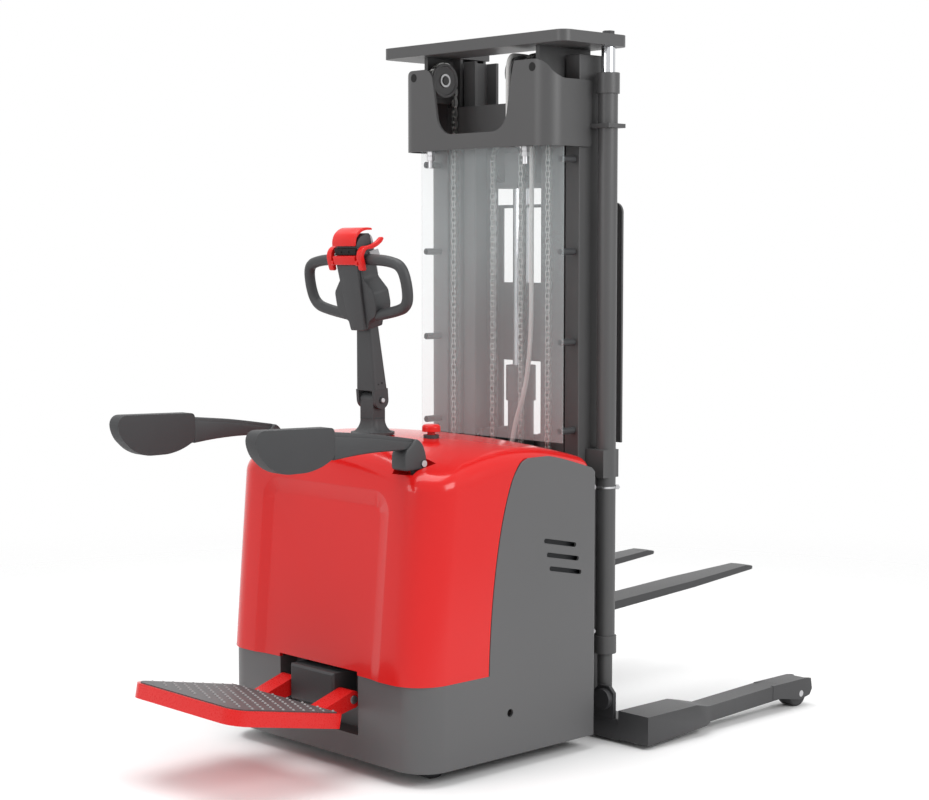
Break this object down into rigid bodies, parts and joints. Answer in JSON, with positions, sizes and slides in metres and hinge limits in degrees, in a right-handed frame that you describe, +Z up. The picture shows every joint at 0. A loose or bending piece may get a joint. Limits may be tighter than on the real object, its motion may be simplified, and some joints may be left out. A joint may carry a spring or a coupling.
{
  "type": "electric stacker",
  "caption": "Electric pedestrian stacker with a red hood, three-stage lift mast, straddle legs, short forks, tiller with loop grips, fold-up rider platform and padded side arms.",
  "frame": {"origin": "on the floor under the middle of the whole truck with its platform down and forks as in the picture", "axes": "+X forward along the forks, +Y to the left of the driver, +Z up"},
  "size_m": [2.116, 1.112, 2.051],
  "materials": {
    "chassis_paint": "satin grey paint",
    "hood_gloss": "glossy red moulding",
    "mast_paint": "dark grey satin paint",
    "fork_paint": "dark satin paint",
    "red_paint": "glossy red paint",
    "red_button": "glossy red plastic",
    "charcoal_plastic": "charcoal moulding",
    "grey_plastic": "light grey moulding",
    "pad_foam": "charcoal skin over foam",
    "chrome_rod": "polished hard chrome",
    "bright_steel": "bare steel",
    "chain_steel": "oiled steel",
    "iron": "cast",
    "battery_case": "moulded case",
    "mat_rubber": "studded grey rubber",
    "tyre_poly": "polyurethane tread",
    "guard_clear": "clear polycarbonate",
    "hose_white": "white sleeve"
  },
  "bodies": {
    "truck": {"chassis_frame": "chassis_paint", "hood": "hood_gloss", "battery": "battery_case", "pump_unit": "iron", "motor_controller": "bright_steel", "steering_bearing": "bright_steel", "platform_bracket": "charcoal_plastic", "pivot_pins": "bright_steel", "arm_lugs": "mast_paint", "stop_base": "charcoal_plastic", "outer_rails": "mast_paint", "mast_base": "fork_paint", "straddle_leg_left": "fork_paint", "straddle_leg_right": "fork_paint", "outer_crosshead": "mast_paint", "chain_anchors": "bright_steel", "lift_cylinders": "mast_paint", "guard_panel": "guard_clear", "guard_standoffs": "charcoal_plastic", "mast_chains_rear": "chain_steel"},
    "drive_unit": {"gearbox": "iron", "drive_motor": "iron", "steering_post": "charcoal_plastic"},
    "drive_tyre": {"drive_wheel": "tyre_poly"},
    "caster_left": {"caster_fork_left": "bright_steel"},
    "caster_right": {"caster_fork_right": "bright_steel"},
    "caster_tyre_left": {"caster_wheel_left": "tyre_poly"},
    "caster_tyre_right": {"caster_wheel_right": "tyre_poly"},
    "load_tyre_left": {"load_wheel_left": "tyre_poly"},
    "load_tyre_right": {"load_wheel_right": "tyre_poly"},
    "tiller": {"tiller_arm": "charcoal_plastic", "tiller_head": "charcoal_plastic", "tiller_loops": "charcoal_plastic"},
    "reverse_cap": {"tiller_cap": "red_button"},
    "throttle": {"throttle_levers": "red_button"},
    "rocker": {"lift_rocker": "grey_plastic"},
    "stop_knob": {"stop_button": "red_button"},
    "platform": {"platform_tray": "red_paint", "platform_mat": "mat_rubber"},
    "arm_left": {"side_arm_left": "charcoal_plastic", "arm_pad_left": "pad_foam"},
    "arm_right": {"side_arm_right": "charcoal_plastic", "arm_pad_right": "pad_foam"},
    "middle_mast": {"middle_frame": "mast_paint", "lift_rods": "chrome_rod", "mast_chains_front": "chain_steel", "lift_hose": "hose_white"},
    "chain_wheels": {"mast_pulleys": "bright_steel"},
    "inner_mast": {"inner_frame": "mast_paint", "free_lift_cylinder": "mast_paint", "free_chains_rear": "chain_steel"},
    "ram": {"free_lift_rod": "chrome_rod", "free_lift_yoke": "mast_paint", "free_chains_front": "chain_steel"},
    "ram_wheels": {"yoke_pulleys": "bright_steel"},
    "carriage": {"carriage_frame": "fork_paint", "forks": "fork_paint", "backrest": "mast_paint"},
    "rollers_low": {"carriage_rollers_low": "bright_steel"},
    "rollers_high": {"carriage_rollers_high": "bright_steel"}
  },
  "joints": [
    {"name": "mast_lift", "type": "slide", "parent": "truck", "child": "middle_mast", "axis": [0, 0, 1], "range_m": [0, 1.45], "deforming": ["mast_chains_rear"]},
    {"name": "inner_lift", "type": "slide", "parent": "middle_mast", "child": "inner_mast", "axis": [0, 0, 1], "range_m": [0, 1.45], "deforming": ["mast_chains_front", "lift_hose"]},
    {"name": "ram_lift", "type": "slide", "parent": "inner_mast", "child": "ram", "axis": [0, 0, 1], "range_m": [-0.165, 0.27], "deforming": ["free_chains_rear"]},
    {"name": "fork_lift", "type": "slide", "parent": "ram", "child": "carriage", "axis": [0, 0, 1], "range_m": [-0.165, 0.27], "deforming": ["free_chains_front"]},
    {"name": "chain_wheel_spin", "type": "hinge", "parent": "middle_mast", "child": "chain_wheels", "pos_m": [0.073, 0, 1.936], "axis": [0, 1, 0], "continuous": true},
    {"name": "ram_wheel_spin", "type": "hinge", "parent": "ram", "child": "ram_wheels", "pos_m": [0.21, 0, 1.692], "axis": [0, 1, 0], "continuous": true},
    {"name": "roller_low_spin", "type": "hinge", "parent": "carriage", "child": "rollers_low", "pos_m": [0.201, 0, 0.545], "axis": [0, 1, 0], "continuous": true},
    {"name": "roller_high_spin", "type": "hinge", "parent": "carriage", "child": "rollers_high", "pos_m": [0.201, 0, 0.82], "axis": [0, 1, 0], "continuous": true},
    {"name": "steer", "type": "hinge", "parent": "truck", "child": "drive_unit", "pos_m": [-0.384, 0, 0.262], "axis": [0, 0, 1], "range_deg": [-90, 90]},
    {"name": "drive_spin", "type": "hinge", "parent": "drive_unit", "child": "drive_tyre", "pos_m": [-0.384, 0, 0.115], "axis": [0, 1, 0], "continuous": true},
    {"name": "tiller_tilt", "type": "hinge", "parent": "drive_unit", "child": "tiller", "pos_m": [-0.384, 0, 1.005], "axis": [0, -1, 0], "range_deg": [0, 40], "stiffness_Nm_per_rad": 22, "springref_deg": -28.65},
    {"name": "cap_press", "type": "slide", "parent": "tiller", "child": "reverse_cap", "axis": [0.2079, 0, -0.9781], "range_m": [0, 0.006], "stiffness_N_per_m": 700, "springref_m": -0.008},
    {"name": "throttle_turn", "type": "hinge", "parent": "tiller", "child": "throttle", "pos_m": [-0.48199, 0, 1.38943], "axis": [0, 1, 0], "range_deg": [-20, 20], "stiffness_Nm_per_rad": 2},
    {"name": "rocker_turn", "type": "hinge", "parent": "tiller", "child": "rocker", "pos_m": [-0.42342, -0.048, 1.4121], "axis": [0, 1, 0], "range_deg": [-12, 12], "stiffness_Nm_per_rad": 0.5},
    {"name": "stop_press", "type": "slide", "parent": "truck", "child": "stop_knob", "axis": [0, 0, -1], "range_m": [0, 0.008]},
    {"name": "platform_fold", "type": "hinge", "parent": "truck", "child": "platform", "pos_m": [-0.591, 0, 0.205], "axis": [0, 1, 0], "range_deg": [0, 76]},
    {"name": "arm_fold_left", "type": "hinge", "parent": "truck", "child": "arm_left", "pos_m": [-0.492, 0.305, 0.858], "axis": [0, 1, 0], "range_deg": [0, 52]},
    {"name": "arm_fold_right", "type": "hinge", "parent": "truck", "child": "arm_right", "pos_m": [-0.492, -0.305, 0.858], "axis": [0, 1, 0], "range_deg": [0, 52]},
    {"name": "caster_swivel_left", "type": "hinge", "parent": "truck", "child": "caster_left", "pos_m": [-0.439, 0.326, 0.158], "axis": [0, 0, 1], "continuous": true},
    {"name": "caster_spin_left", "type": "hinge", "parent": "caster_left", "child": "caster_tyre_left", "pos_m": [-0.463, 0.326, 0.058], "axis": [0, 1, 0], "continuous": true},
    {"name": "load_spin_left", "type": "hinge", "parent": "truck", "child": "load_tyre_left", "pos_m": [0.918, 0.499, 0.042], "axis": [0, 1, 0], "continuous": true},
    {"name": "caster_swivel_right", "type": "hinge", "parent": "truck", "child": "caster_right", "pos_m": [-0.439, -0.326, 0.158], "axis": [0, 0, 1], "continuous": true},
    {"name": "caster_spin_right", "type": "hinge", "parent": "caster_right", "child": "caster_tyre_right", "pos_m": [-0.463, -0.326, 0.058], "axis": [0, 1, 0], "continuous": true},
    {"name": "load_spin_right", "type": "hinge", "parent": "truck", "child": "load_tyre_right", "pos_m": [0.918, -0.499, 0.042], "axis": [0, 1, 0], "continuous": true}
  ],
  "couplings": [
    {"joint": "inner_lift", "follows": "mast_lift", "ratio": 1},
    {"joint": "ram_lift", "follows": "fork_lift", "ratio": 1},
    {"joint": "chain_wheel_spin", "follows": "mast_lift", "rad_per_m": -20.408},
    {"joint": "ram_wheel_spin", "follows": "fork_lift", "rad_per_m": -16.949},
    {"joint": "roller_low_spin", "follows": "fork_lift", "rad_per_m": -51.02},
    {"joint": "roller_high_spin", "follows": "fork_lift", "rad_per_m": 51.02}
  ]
}
